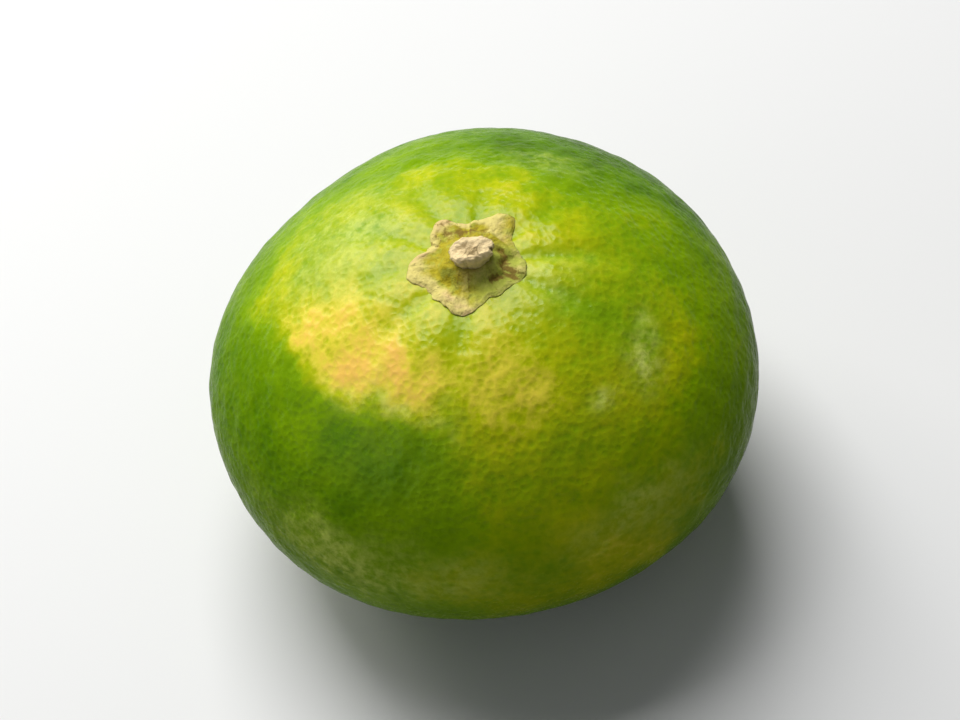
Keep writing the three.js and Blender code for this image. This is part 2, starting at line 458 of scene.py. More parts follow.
def crease_depth(polar, azimuth):
    """Depth of the troughs between the segments.

    It is a squared raised cosine round the stem, strongest a little way out, and uneven between troughs.
    """
    out = EQUATOR_RADIUS * np.sin(polar) / CREASE_PEAK_RADIUS
    fade = out**2 * np.exp(1 - out**2) * (polar < math.pi / 2)
    wave = np.cos(CREASES * azimuth + CREASE_DRIFT * np.sin(2 * azimuth + 1))
    weight = 0.65 + 0.35 * np.sin(3 * azimuth + 2.2)
    return CREASE_DEPTH * fade * weight * (0.5 + 0.5 * wave) ** 2


def plain_skin(polar, azimuth):
    """The skin without its creases.

    It is a flattened ball, narrow at the shoulders, hollow at both ends, and leaning at the crown.
    """
    sine, cosine = np.sin(polar), np.cos(polar)
    taper = 1 - np.where(cosine > 0, SHOULDER_TAPER, BASE_TAPER) * np.sin(2 * polar) ** 2
    plain_radius = EQUATOR_RADIUS * sine * taper
    off = unevenness(polar, azimuth)
    radius = plain_radius + off * sine
    basin = -BASIN_DEPTH * bell(plain_radius, BASIN_RADIUS)
    navel = NAVEL_DEPTH * bell(plain_radius, NAVEL_RADIUS)
    z = HALF_HEIGHT * cosine * taper + off * cosine - WIDEST_DROP * sine**2
    z = z + np.where(cosine > 0, basin, navel)
    lean = ((1 + cosine) / 2) ** 2
    x = radius * np.cos(azimuth) * (1 + BROADENING) + CROWN_LEAN[0] * lean
    y = radius * np.sin(azimuth) * (1 - BROADENING) + CROWN_LEAN[1] * lean
    return np.stack([x, y, z], axis=-1)


def rest_level():
    """The height at which the fruit's own weight presses it flat, just above its lowest ring."""
    polar = math.pi * (0.75 + 0.25 * np.arange(401) / 400)
    return plain_skin(polar, np.zeros(401))[:, 2].min() + REST_TRIM


GROUND = rest_level()


def skin_on_ground(polar, azimuth):
    """The plain skin, set down so that the floor is at height 0."""
    return plain_skin(polar, azimuth) - np.array([0, 0, GROUND])


def angles_of(directions):
    """Polar angle and azimuth of unit directions."""
    return np.arccos(np.clip(directions[:, 2], -1, 1)), np.arctan2(directions[:, 1], directions[:, 0])


def unit(vectors):
    """The same vectors at length 1."""
    return vectors / np.linalg.norm(vectors, axis=-1, keepdims=True)


def skin_and_normals(directions):
    """Points of the skin in the given directions, and the way that the skin faces there.

    The facing is the cross product of two differences of the skin, a small step to either side along two
    directions at right angles.
    """
    step = 1e-3
    away = np.where(np.abs(directions[:, 2:]) < 0.9, [[0.0, 0.0, 1.0]], [[1.0, 0.0, 0.0]])
    first = unit(np.cross(directions, away))
    second = np.cross(directions, first)
    slopes = [
        skin_on_ground(*angles_of(unit(directions + side * step)))
        - skin_on_ground(*angles_of(unit(directions - side * step)))
        for side in (first, second)
    ]
    return skin_on_ground(*angles_of(directions)), unit(np.cross(*slopes))


def cube_sphere(divisions):
    """Directions of a ball drawn as six square grids, and the squares between them.

    On each grid the two parameters are angles from -45 to 45 degrees. A point is the grid's own axis plus the
    tangents of the two angles along the other two axes, at length 1. Points that two grids share are merged.
    """
    angles = np.tan(np.linspace(-math.pi / 4, math.pi / 4, divisions + 1))
    across, along = np.meshgrid(angles, angles, indexing="ij")
    corners = np.arange((divisions + 1) ** 2).reshape(divisions + 1, divisions + 1)
    square = np.stack([corners[:-1, :-1], corners[1:, :-1], corners[1:, 1:], corners[:-1, 1:]], axis=-1)
    square = square.reshape(-1, 4)
    points, faces = [], []
    for axis, sign in itertools.product(range(3), (1, -1)):
        grid = np.zeros(across.shape + (3,))
        grid[..., axis] = sign
        grid[..., (axis + 1) % 3] = across
        grid[..., (axis + 2) % 3] = along * sign
        faces.append(square + len(points) * corners.size)
        points.append(unit(grid).reshape(-1, 3))
    points = np.concatenate(points)
    _, first, merged = np.unique(np.round(points, 7), axis=0, return_index=True, return_inverse=True)
    return points[first], merged.ravel()[np.concatenate(faces)].tolist()


def painted(points, marks, start):
    """A value for each point: the start, brought towards each mark's level in turn.

    A mark's weight is exp(-(r^2)^crispness), where r is the distance from its middle in half widths along the
    azimuth and half lengths down the fruit, turned by its angle, and in their mean along the skin's normal.
    """
    value = np.array(start, dtype=float)
    for mark in marks:
        azimuth, polar = math.radians(mark.azimuth), math.radians(mark.polar)
        outward = np.array(
            [math.sin(polar) * math.cos(azimuth), math.sin(polar) * math.sin(azimuth), math.cos(polar)]
        )
        middle, normal = (found[0] for found in skin_and_normals(outward[None]))
        east = unit(np.cross([0, 0, 1], normal))
        south = np.cross(east, normal)
        turn = math.radians(mark.turn)
        offset = (points - middle) / MM
        across = offset @ (east * math.cos(turn) + south * math.sin(turn)) / mark.width
        down = offset @ (south * math.cos(turn) - east * math.sin(turn)) / mark.length
        deep = offset @ normal * 2 / (mark.width + mark.length)
        weight = np.exp(-((across**2 + down**2 + deep**2) ** mark.crispness))
        value += (mark.level - value) * weight
    return value


def soft_floor(heights, softness):
    """Heights pressed flat at 0, with a bend as wide as the softness: (z + w)^2 / 4w between -w and w."""
    bent = (np.clip(heights, -softness, softness) + softness) ** 2 / (4 * softness)
    return np.where(heights > softness, heights, bent)


def new_piece(name, points, faces, fields, material):
    """A smooth mesh object with its number fields and its material."""
    mesh = bpy.data.meshes.new(name)
    mesh.from_pydata(points, [], faces)
    for field_name, values in fields.items():
        attribute = mesh.attributes.new(field_name, "FLOAT", "POINT")
        attribute.data.foreach_set("value", np.ascontiguousarray(values, dtype=np.float32))
    mesh.shade_smooth()
    mesh.update()
    mesh.materials.append(material)
    piece = bpy.data.objects.new(name, mesh)
    bpy.context.scene.collection.objects.link(piece)
    return piece


def closed_rings(count, columns):
    """Faces between a first pole, rings in order and a last pole, which is the order of the points."""
    ring = 1 + np.arange(count * columns).reshape(count, columns)
    beside = np.roll(ring, -1, axis=1)
    sides = np.stack([ring[:-1], ring[1:], beside[1:], beside[:-1]], axis=-1).reshape(-1, 4).tolist()
    first = np.stack([np.zeros(columns, int), ring[0], beside[0]], axis=-1).tolist()
    last = np.stack([np.full(columns, count * columns + 1), beside[-1], ring[-1]], axis=-1).tolist()
    return first + sides + last


def with_poles(values, first=0.0, last=0.0):
    """The values of the rings in one row, between those of the first and the last pole."""
    return np.concatenate([[first], values.ravel(), [last]])


def add_node(tree, kind, inputs=(), **settings):
    """Adds a shader node with its settings, and sets or links each (input, value) pair."""
    made = tree.nodes.new("ShaderNode" + kind)
    for name, value in settings.items():
        setattr(made, name, value)
    for key, value in dict(inputs).items():
        if isinstance(value, bpy.types.NodeSocket):
            tree.links.new(value, made.inputs[key])
        else:
            made.inputs[key].default_value = value
    return made


def calculate(tree, operation, *values):
    """The result of a Math node."""
    return add_node(tree, "Math", enumerate(values), operation=operation).outputs[0]


def scaled_sum(tree, value, factor, base):
    """A base plus a value times a factor."""
    return calculate(tree, "MULTIPLY_ADD", value, factor, base)


def mixed(tree, factor, first, second, blend="MIX"):
    """The result of a colour Mix node; a colour is a socket or three numbers."""
    paired = [
        value if isinstance(value, bpy.types.NodeSocket) else (*value, 1.0) for value in (first, second)
    ]
    inputs = {0: factor, 6: paired[0], 7: paired[1]}
    return add_node(tree, "Mix", inputs, data_type="RGBA", blend_type=blend).outputs[2]


def field(tree, name):
    """A number field of the piece's own mesh."""
    return add_node(tree, "Attribute", attribute_name=name).outputs["Fac"]


def cloud(tree, place, size, detail=2.0, roughness=0.5):
    """Soft noise from 0 to 1 with features of the given size in metres."""
    inputs = {"Vector": place, "Scale": 1 / size, "Detail": detail, "Roughness": roughness}
    return add_node(tree, "TexNoise", inputs).outputs[0]


def noise(tree, place, size, detail, roughness):
    """Soft noise from -0.5 to 0.5."""
    return calculate(tree, "SUBTRACT", cloud(tree, place, size, detail, roughness), 0.5)


def dots(tree, place, size):
    """Distance to the nearest of scattered points about the given size apart, in those sizes."""
    return add_node(tree, "TexVoronoi", {"Vector": place, "Scale": 1 / size}).outputs["Distance"]


def stepped(tree, value, low, high, to_low=0.0, to_high=1.0):
    """A value brought from one range to another with a soft S between the ends."""
    inputs = {0: value, 1: low, 2: high, 3: to_low, 4: to_high}
    return add_node(tree, "MapRange", inputs, interpolation_type="SMOOTHSTEP").outputs[0]


def ramp(tree, value, stops):
    """Colours along a value; stops are (place, colour)."""
    made = add_node(tree, "ValToRGB", {0: value})
    elements = made.color_ramp.elements
    while len(elements) < len(stops):
        elements.new(0.5)
    for element, (place, tint) in zip(elements, stops):
        element.position = place
        element.color = (*tint, 1.0)
    return made.outputs[0]


def bumped(tree, shader, height, depth):
    """Gives the shader a relief of the given depth from a height of about 0 to 1."""
    bump = add_node(tree, "Bump", {"Strength": 1.0, "Distance": depth, "Height": height})
    tree.links.new(bump.outputs[0], shader.inputs["Normal"])


def new_material(name, **sockets):
    """A material with its shader's own sockets set; gives the material, its tree, shader and Object place."""
    material = bpy.data.materials.new(name)
    material.use_nodes = True
    tree = material.node_tree
    shader = tree.nodes["Principled BSDF"]
    for socket, value in sockets.items():
        shader.inputs[socket.replace("_", " ")].default_value = value
    return material, tree, shader, add_node(tree, "TexCoord").outputs["Object"]


def ripe_colour(tree, place, settings, speckle, pores):
    """The skin's colour by ripeness, mottled, with speckles and gland dots where it has turned."""
    blotches = noise(tree, place, BLOTCH_SIZE, 4, 0.6)
    ripeness = scaled_sum(tree, blotches, 0.30, field(tree, "ripeness"))
    grain = calculate(tree, "MULTIPLY", speckle, 0.26)
    grain = scaled_sum(tree, pores, 0.07, grain)
    grain = scaled_sum(tree, field(tree, "gland"), -0.075, grain)
    turned = stepped(tree, ripeness, 0.4, 0.75, 0.4, 1.0)
    ripeness = scaled_sum(tree, grain, turned, ripeness)
    return ramp(tree, ripeness, (
        (0.0, settings.deep_green), (0.2, settings.green), (0.42, settings.lime),
        (0.6, settings.yellow_green), (0.78, settings.yellow), (0.97, settings.orange),
    ))


def rind_material(settings):
    """Waxy skin: its ripe colour under pale wax and painted sheen, scuffs and the scar, darkened below by
    painted shade, with fine dimples.

    Its gloss fades from the stem to the sides, and its scuffs are rougher.
    """
    material, tree, shader, place = new_material(
        "satsuma_rind", Subsurface_Weight=0.08, Subsurface_Radius=(1.0, 0.9, 0.2), Subsurface_Scale=0.8 * MM
    )
    speckle = noise(tree, place, SPECKLE_SIZE, 3, 0.7)
    pores = stepped(tree, dots(tree, place, settings.fine_gland_spacing), 0.1, 0.75)
    tint = ripe_colour(tree, place, settings, speckle, pores)
    patchy = cloud(tree, place, WAX_PATCH_SIZE, 4, 0.7)
    # Pale wax with the painted sheen, highlights and reflections, laid on in patches
    wax_and_sheen = calculate(tree, "MULTIPLY", field(tree, "wax_and_sheen"), stepped(tree, patchy, 0.35, 0.68, 0.1, 1.0))
    tint = mixed(tree, wax_and_sheen, tint, settings.wax_and_sheen)
    scuffed = scaled_sum(tree, patchy, 1.6, field(tree, "scuff"))
    scuffed = stepped(tree, scuffed, 1.25, 1.75, 0.0, 0.8)
    tint = mixed(tree, scuffed, tint, settings.scuff)
    tint = mixed(tree, field(tree, "scar"), tint, settings.scar)
    # Painted shade: the depth field multiplies the colour darker low on the sides
    tint = mixed(tree, field(tree, "depth"), tint, (0.5, 0.5, 0.5), "MULTIPLY")
    tree.links.new(tint, shader.inputs["Base Color"])
    gloss = stepped(tree, field(tree, "side"), 0.0, 1.0, settings.gloss, settings.side_gloss)
    tree.links.new(gloss, shader.inputs["Specular IOR Level"])
    roughness = scaled_sum(tree, speckle, 0.3, settings.roughness)
    roughness = scaled_sum(tree, scuffed, 0.2, roughness)
    tree.links.new(roughness, shader.inputs["Roughness"])
    bumped(tree, shader, scaled_sum(tree, speckle, 0.6, pores), settings.fine_gland_depth)
    return material


def shifted_places(skin):
    """The skin's points with seeded shifts along each axis, long waves and half as strong short ones."""
    shifts = [
        ripple(skin, LONG_SHIFTS, seed) + 0.5 * ripple(skin, SHORT_SHIFTS, seed + 3) for seed in (1, 2, 3)
    ]
    return skin + MARK_SHIFT * np.stack(shifts, axis=-1)


def blossom_end(skin, polar, azimuth):
    """The scar under the fruit, from 0 to 1, and the wrinkles that run out from it, from -1 to 1.

    The scar is a ragged disc. The wrinkles are a cosine round it that fades in and out along the radius.
    """
    from_navel = np.hypot(skin[:, 0], skin[:, 1]) + SCAR_RAGGEDNESS * ripple(skin, 1.6 * MM, 12)
    from_navel += 1.0 * (polar < math.pi / 2)
    wrinkles = np.cos(WRINKLES * azimuth + 1.2 * np.sin(3 * azimuth))
    wrinkles *= smooth(from_navel, *WRINKLE_START) * (1 - smooth(from_navel, *WRINKLE_END))
    return 1 - smooth(from_navel, *SCAR_EDGE), wrinkles


def rind_fields(skin, shifted, polar, azimuth, crease):
    """The rind's marks with their painted sheen, its painted shade low on the sides and along the creases, and
    the fading of its gloss.
    """
    down = np.degrees(polar)
    crown = 1 - smooth(down, *CROWN_SPAN)
    ripeness = painted(shifted, RIPENESS_MARKS, PLAIN_RIPENESS + CROWN_RIPENESS * crown)
    # Painted shade: the skin is made greener and darker along the creases
    ripeness += 0.02 * ripple(skin, 9 * MM, 21) - 0.12 * crease / CREASE_DEPTH
    # Pale wax and painted sheen, then the painted highlight spots
    wax_and_sheen = painted(shifted, WAX_AND_SHEEN_MARKS, np.zeros(len(skin)))
    # The depth field is painted shade: darker low on the sides, most on one side
    deepest = smooth(facing(azimuth, PAINTED_SHADE_SIDE), 0.2, 0.9)
    return {
        "ripeness": ripeness,
        "wax_and_sheen": painted(skin, PAINTED_HIGHLIGHT_SPOTS, wax_and_sheen),
        "scuff": painted(0.7 * skin + 0.3 * shifted, SCUFF_MARKS, np.zeros(len(skin))),
        "depth": smooth(down, *PAINTED_SHADE_SPAN) * (0.6 + 0.4 * deepest),
        "side": smooth(down + GLOSS_LEAN * facing(azimuth, DULLEST_SIDE), *GLOSS_FADE),
    }


class MANDARIN_OT_grow_rind(bpy.types.Operator):
    """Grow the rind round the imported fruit, with its creases, oil glands, marks and scar"""

    bl_idname = "mandarin.grow_rind"
    bl_label = "Grow rind"

    def execute(self, context):
        settings = context.scene.mandarin_rind
        directions, faces = cube_sphere(settings.divisions)
        polar, azimuth = angles_of(directions)
        skin, normals = skin_and_normals(directions)
        shifted = shifted_places(skin)
        gland = gland_dimples(skin, normals, settings.gland_spacing)
        scar, wrinkles = blossom_end(skin, polar, azimuth)
        crease = crease_depth(polar, azimuth)

        relief = -settings.gland_depth * gland * (1 - scar)
        relief += settings.pebble_height * ripple(skin, PEBBLE_SPACING, 11, 40)
        relief += WRINKLE_HEIGHT * wrinkles - SCAR_DEPTH * scar
        points = skin + normals * relief[:, None]
        points[:, 2] = soft_floor(points[:, 2] - crease, REST_SOFTNESS)

        fields = {"gland": gland, "scar": scar, **rind_fields(skin, shifted, polar, azimuth, crease)}
        piece = new_piece("rind", points, faces, fields, rind_material(settings))
        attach(piece, BODY)
        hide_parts("fruit")
        return {"FINISHED"}


def lobe_reach(azimuth):
    """How far the calyx reaches at each azimuth: a soft peak at each lobe and a notch between lobes.

    Between lobes it follows a raised cosine of the share of the way, to the power of the sharpness.
    """
    degrees = np.degrees(azimuth) % 360
    reach = np.zeros(azimuth.shape)
    for i, (lobe, longest, notch) in enumerate(LOBES):
        before, _, notch_before = LOBES[i - 1]
        after = LOBES[(i + 1) % len(LOBES)][0]
        turn = (degrees - lobe + 180) % 360 - 180
        gap = np.where(turn < 0, (lobe - before) % 360, (after - lobe) % 360)
        shortest = np.where(turn < 0, notch_before, notch)
        part = np.clip(np.abs(turn) / (gap / 2), 0, 1)
        peak = (0.5 + 0.5 * np.cos(math.pi * part)) ** LOBE_SHARPNESS
        reach = np.where(part < 1, shortest + (longest - shortest) * peak, reach)
    return reach


def ragged_reach(azimuth):
    """The lobes' reach with a seeded uneven edge."""
    edge = circle(azimuth, CALYX_CIRCLE)
    reach = lobe_reach(azimuth) + 0.16 * MM * ripple(edge, 2.6 * MM, 32)
    return reach + 0.05 * MM * ripple(edge, 0.9 * MM, 33)


def calyx_rows():
    """How far out each ring lies, as a share of the reach, and whether it is on top: 1, or below: 0."""
    top = np.linspace(0, 1, CALYX_RINGS + 1)[1:]
    below = np.linspace(1, 0, CALYX_UNDER_RINGS + 1)[1:-1]
    on_top = np.concatenate([np.ones(len(top)), np.zeros(len(below))])
    return np.concatenate([top, below])[:, None], on_top[:, None]


def near_lines(x, y, lines, width):
    """How near each place is to one of several bent lines, from 0 to 1.

    It is exp(-(d/width)^2), with d the distance to the nearest place on a straight piece of any line.
    """
    nearest = np.full(x.shape, np.inf)
    for line in lines:
        for (x1, y1), (x2, y2) in zip(line, line[1:]):
            run, rise = x2 - x1, y2 - y1
            part = np.clip(((x - x1) * run + (y - y1) * rise) / (run**2 + rise**2), 0, 1)
            nearest = np.minimum(nearest, np.hypot(x - x1 - part * run, y - y1 - part * rise))
    return bell(nearest, width)


def calyx_zones(settings, azimuth, out, to_edge, under):
    """Where the parts of the calyx lie, from 0 to 1, and its fibres, which run out from the middle.

    The rim follows the edge, the ribs the lobes' middles, the gully the seat in the middle, and the other
    parts their own lines, a little shifted.
    """
    lobes = np.radians([lobe for lobe, _, _ in LOBES])
    off_rib = np.abs(turn_from(azimuth[:, None], lobes)).min(axis=1)
    zones = SimpleNamespace()
    zones.rib = bell(off_rib * out, RIB_WIDTH) * smooth(out, 2.6 * MM, 3.8 * MM)
    zones.fibres = ripple(circle(azimuth, CALYX_CIRCLE), 0.7 * MM, 40, 40) * smooth(out, 2 * MM, 4 * MM)
    zones.rim = 1 - smooth(to_edge, 0.15 * MM, 1.45 * MM + 0.45 * MM * rough(under, 1.7 * MM, 34))
    zones.roundness = smooth(to_edge, -0.25 * MM, 0.7 * MM)
    drift = LINE_DRIFT * rough(under, 1.6 * MM, 47)
    x = out * np.cos(azimuth) / MM + drift
    y = out * np.sin(azimuth) / MM + drift
    zones.hollow = near_lines(x, y, CALYX_HOLLOWS, 0.55)
    zones.brown = near_lines(x, y, CALYX_BROWN_LINES, 0.32)
    zones.browned = near_lines(x, y, CALYX_BROWN_LINES, 1.0)
    zones.streak = near_lines(x, y, CALYX_STREAKS, 0.45)
    zones.band = near_lines(x, y, CALYX_PALE_BANDS, 0.85)
    seat_edge = out + 0.25 * MM * rough(under, 2.4 * MM, 35)
    zones.seat = 1 - smooth(seat_edge, 0.7 * settings.seat_radius, 1.4 * settings.seat_radius)
    zones.collar = zones.seat * smooth(facing(azimuth, PAINTED_LIGHT_SIDE), 0.3, 0.9)
    zones.gully = 0.3 * bell(out - 0.95 * settings.seat_radius, GULLY_WIDTH)
    zones.cracks = bell(rough(under, 1.3 * MM, 36), 0.13) * (0.4 + 0.6 * zones.rim)
    return zones


def calyx_lift(settings, zones, under):
    """How far the top of the calyx stands above the skin.

    The lobes' relief is rounded off at the edge and raised to the seat. The gully, hollows and brown lines
    cut into that, but never down to the skin.
    """
    lift = settings.lobe_thickness + settings.rim_height * zones.rim * (1 + 0.4 * rough(under, 1.8 * MM, 37))
    lift += MM * (0.10 * zones.rib + 0.03 * rough(under, 0.8 * MM, 38) - 0.06 * zones.cracks)
    lift += 0.018 * MM * zones.fibres
    lift *= zones.roundness
    lift += (settings.seat_height + 0.06 * MM * rough(under, 1.2 * MM, 39) - lift) * zones.seat
    lift += MM * (0.05 * zones.band * zones.roundness - 0.06 * zones.brown)
    lift -= MM * (0.3 * zones.gully + 0.5 * zones.hollow)
    return np.maximum(lift, CALYX_LEAST_LIFT * zones.roundness)


def calyx_fields(zones, azimuth):
    """How pale and corky the calyx is, with painted light and shade by side on its rim and seat, how brown and
    creased with painted shade in its gully and hollows, and how fresh.
    """
    # Painted light and shade: the rim is painted paler towards the light and less pale on its shaded side, and
    # the seat's front is painted paler
    rim_lit = 0.3 + 0.7 * smooth(-facing(azimuth, RIM_SHADED_SIDE), -0.5, 0.3)
    pale = zones.rim * rim_lit + 0.9 * zones.band + 0.35 * zones.rib - 0.4 * zones.seat + 0.9 * zones.collar
    # Painted shade in the gully round the seat and in the hollows beside the stub, with the brown lines,
    # streak, cracks and fibres
    crease = np.maximum(zones.gully, zones.hollow) + 0.5 * zones.brown + 0.45 * zones.browned
    crease += 0.35 * zones.streak + 0.6 * zones.cracks + 0.16 * zones.fibres
    fresh = smooth(facing(azimuth, FRESH_SIDE), 0.2, 0.9)
    return {"rim": np.clip(pale, 0, 1), "crease": crease, "fresh": fresh}


def calyx_material(settings):
    """Dry calyx: golden-olive lobes, fresher on one side, a pale corky rim, and brown creases and lines, with
    painted shade in its gully and hollows and painted light on its rim and seat.

    Its rim has pinkish parts, and fine wrinkles cover all of it.
    """
    material, tree, shader, place = new_material("dry_calyx", Roughness=0.75, Specular_IOR_Level=0.25)
    mottled = noise(tree, place, 0.9 * MM, 5, 0.7)
    fibres = noise(tree, place, 0.25 * MM, 3, 0.6)
    blushed = stepped(tree, cloud(tree, place, 2.4 * MM, 2, 0.5), 0.48, 0.68)
    pale = mixed(tree, blushed, settings.rim, settings.blush)
    patches = stepped(tree, cloud(tree, place, 1.1 * MM, 3, 0.6), 0.48, 0.62, 0.0, 0.6)
    inside = mixed(tree, patches, settings.lobe, settings.fresh)
    inside = mixed(tree, field(tree, "fresh"), inside, settings.fresh)
    cork = scaled_sum(tree, mottled, 1.6, field(tree, "rim"))
    tint = mixed(tree, stepped(tree, cork, 0.0, 1.0, 0.0, 0.95), inside, pale)
    dark = scaled_sum(tree, mottled, -1.4, field(tree, "crease"))
    dark = scaled_sum(tree, fibres, 0.9, dark)
    tint = mixed(tree, stepped(tree, dark, 0.2, 0.95, 0.0, 0.9), tint, settings.shade)
    tree.links.new(tint, shader.inputs["Base Color"])
    bumped(tree, shader, scaled_sum(tree, mottled, 0.6, fibres), 0.16 * MM)
    return material


class MANDARIN_OT_grow_calyx(bpy.types.Operator):
    """Grow the dry five-lobed calyx on the crown"""

    bl_idname = "mandarin.grow_calyx"
    bl_label = "Grow calyx"

    def execute(self, context):
        settings = context.scene.mandarin_calyx
        azimuth = round_angles(CALYX_COLUMNS)
        out_share, on_top = calyx_rows()
        reach = ragged_reach(azimuth)
        out = out_share * reach
        polar = out / EQUATOR_RADIUS
        under = skin_on_ground(polar, np.broadcast_to(azimuth, polar.shape))
        zones = calyx_zones(settings, azimuth, out, reach - out, under)

        points = under.copy()
        points[..., 2] += np.where(on_top > 0, calyx_lift(settings, zones, under), -CALYX_BEDDING)
        points[..., 2] -= crease_depth(polar, azimuth) * smooth(out, 3 * MM, 5 * MM)
        centre = skin_on_ground(np.zeros(1), np.zeros(1))
        top_middle = centre + [0, 0, settings.seat_height]
        low_middle = centre - [0, 0, CALYX_BEDDING]
        points = np.concatenate([top_middle, points.reshape(-1, 3), low_middle])

        fields = {
            name: with_poles(values * on_top) for name, values in calyx_fields(zones, azimuth).items()
        }
        faces = closed_rings(*out.shape)
        piece = new_piece("dry_calyx", points, faces, fields, calyx_material(settings))
        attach(piece, BODY)
        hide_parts("calyx")
        return {"FINISHED"}


def stub_outline(settings):
    """Columns of distances from the axis and of heights, at even steps along the stub's outline.

    The outline is straight from corner to corner.
    """
    foot_radius = settings.radius - settings.waist
    corners = [(part * foot_radius, level * settings.height) for part, level in STUB_FOOT]
    corners += [(part * settings.radius, level * settings.height) for part, level in STUB_TOP]
    reach, level = np.array(corners).T
    along = np.concatenate([[0], np.cumsum(np.hypot(np.diff(reach), np.diff(level)))])
    steps = np.linspace(0, along[-1], STUB_RINGS + 2)[1:-1]
    return np.interp(steps, along, reach)[:, None], np.interp(steps, along, level)[:, None]


def stub_zones(settings, grid, azimuth):
    """Where the parts of the stub lie, from 0 to 1, and the grooves down its side.

    Most follow the height, the notch one azimuth, and the pith its own middle. Cracks lie where seeded
    unevenness passes through 0.
    """
    radius, height = settings.radius, settings.height
    x, y, level = np.moveaxis(grid, -1, 0)
    grooves = ripple(circle(azimuth, radius), 0.55 * MM, 46, 30)
    zones = SimpleNamespace()
    # Where painted shade darkens the foot against the calyx
    zones.foot = 1 - smooth(level, 0, 0.3 * height)
    zones.rising = smooth(level, 0.0, 0.5 * height)
    zones.face = smooth(level, 0.82 * height, 0.95 * height)
    zones.notch = bell(turn_from(azimuth, math.radians(NOTCH_SIDE)), NOTCH_WIDTH) * zones.rising
    zones.grooves = grooves * (1 - smooth(level, 0.8 * height, height))
    zones.swell = 0.055 * rough(grid, 2.8 * MM, 41) + 0.02 * rough(grid, 1.0 * MM, 42)
    zones.cracks = bell(rough(grid, 1.5 * MM, 44), 0.14) * (0.25 + 0.75 * zones.face)
    zones.pith = bell(np.hypot(x - PITH_X * radius, y - PITH_Y * radius), PITH_WIDTH * radius) * zones.face
    return zones


def stub_points(settings, grid, zones):
    """The stub's points about its own foot.

    The outline is swollen, grooved and notched, widened one way and narrowed the other. The face slants and
    is rough, with a sunken pith.
    """
    x, y, level = np.moveaxis(grid, -1, 0)
    swell = 1 + zones.rising * zones.swell + 0.02 * zones.grooves - 0.12 * zones.notch
    slant = STUB_SLANT * (level / settings.height) * (x - y)
    lumps = 0.10 * rough(grid, 2.0 * MM, 43) + 0.035 * rough(grid, 0.6 * MM, 45) - 0.035 * zones.cracks
    z = level + slant + MM * zones.face * lumps - PITH_DEPTH * zones.pith
    return np.stack([x * swell * STUB_WIDENING, y * swell * STUB_NARROWING, z], axis=-1)


def stub_fields(zones):
    """How much each place of the stub is cut face, and how dark with cracks it is, with painted shade round its
    foot.
    """
    face = zones.face + 0.45 * (1 - zones.face) * zones.rising
    cracks_and_shade = 0.4 * zones.cracks + 0.5 * zones.notch * (1 - 0.5 * zones.face) + 0.9 * zones.pith
    # The last term is painted shade round the foot, where the stub meets the calyx
    cracks_and_shade += 0.15 * np.maximum(-zones.grooves, 0) + 0.2 * zones.foot
    return {"face": with_poles(face, last=1.0), "cracks_and_shade": with_poles(np.clip(cracks_and_shade, 0, 1))}


def stub_material(settings):
    """Cut stem: pale wood on the face, tan bark down the side, cracks, pores and upright fibres, and painted
    shade round its foot.
    """
    material, tree, shader, place = new_material("cut_stem", Roughness=0.8, Specular_IOR_Level=0.25)
    upright = add_node(tree, "VectorMath", {0: place, 1: (1.0, 1.0, 0.2)}, operation="MULTIPLY").outputs[0]
    mottled = noise(tree, place, 0.8 * MM, 5, 0.7)
    pores = noise(tree, place, 0.2 * MM, 3, 0.6)
    fibres = noise(tree, upright, 0.28 * MM, 4, 0.65)
    fibres = calculate(tree, "MULTIPLY", fibres, stepped(tree, field(tree, "face"), 0.9, 0.4))
    face = scaled_sum(tree, mottled, 1.0, field(tree, "face"))
    tint = mixed(tree, stepped(tree, face, 0.15, 0.85), settings.bark, settings.wood)
    dark = scaled_sum(tree, mottled, -1.0, field(tree, "cracks_and_shade"))
    dark = scaled_sum(tree, pores, 1.0, dark)
    dark = scaled_sum(tree, fibres, 1.6, dark)
    tint = mixed(tree, stepped(tree, dark, 0.2, 1.0, 0.0, 0.85), tint, settings.cracks_and_shade)
    tree.links.new(tint, shader.inputs["Base Color"])
    height = scaled_sum(tree, mottled, 0.6, pores)
    height = scaled_sum(tree, fibres, -1.2, height)
    bumped(tree, shader, height, 0.15 * MM)
    return material


class MANDARIN_OT_grow_stub(bpy.types.Operator):
    """Grow the lumpy cut stub of the stem"""

    bl_idname = "mandarin.grow_stub"
    bl_label = "Grow stem stub"

    def execute(self, context):
        settings = context.scene.mandarin_stub
        azimuth = round_angles(STUB_COLUMNS)
        reach, level = stub_outline(settings)
        grid = reach[..., None] * circle(azimuth, 1.0)
        grid[..., 2] = level
        zones = stub_zones(settings, grid, azimuth)

        points = stub_points(settings, grid, zones)
        low_middle = [[0, 0, -0.1 * settings.height]]
        top_middle = [[0, 0, points[-1, :, 2].mean()]]
        points = np.concatenate([low_middle, points.reshape(-1, 3), top_middle])
        points += [(STUB_LOW.x + STUB_HIGH.x) / 2, (STUB_LOW.y + STUB_HIGH.y) / 2, STUB_LOW.z]

        faces = closed_rings(*grid.shape[:2])
        piece = new_piece("stem_stub_wood", points, faces, stub_fields(zones), stub_material(settings))
        piece.data.flip_normals()
        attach(piece, BODY)
        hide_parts("stem_stub")
        return {"FINISHED"}


def floor_material(settings):
    """A plain pale floor with the faintest unevenness."""
    material, tree, shader, place = new_material("pale_floor", Roughness=0.6)
    fade = stepped(tree, cloud(tree, place, 0.3), 0.3, 0.7)
    darker = [0.985 * part for part in settings.floor_colour]
    tree.links.new(mixed(tree, fade, darker, settings.floor_colour), shader.inputs["Base Color"])
    return material


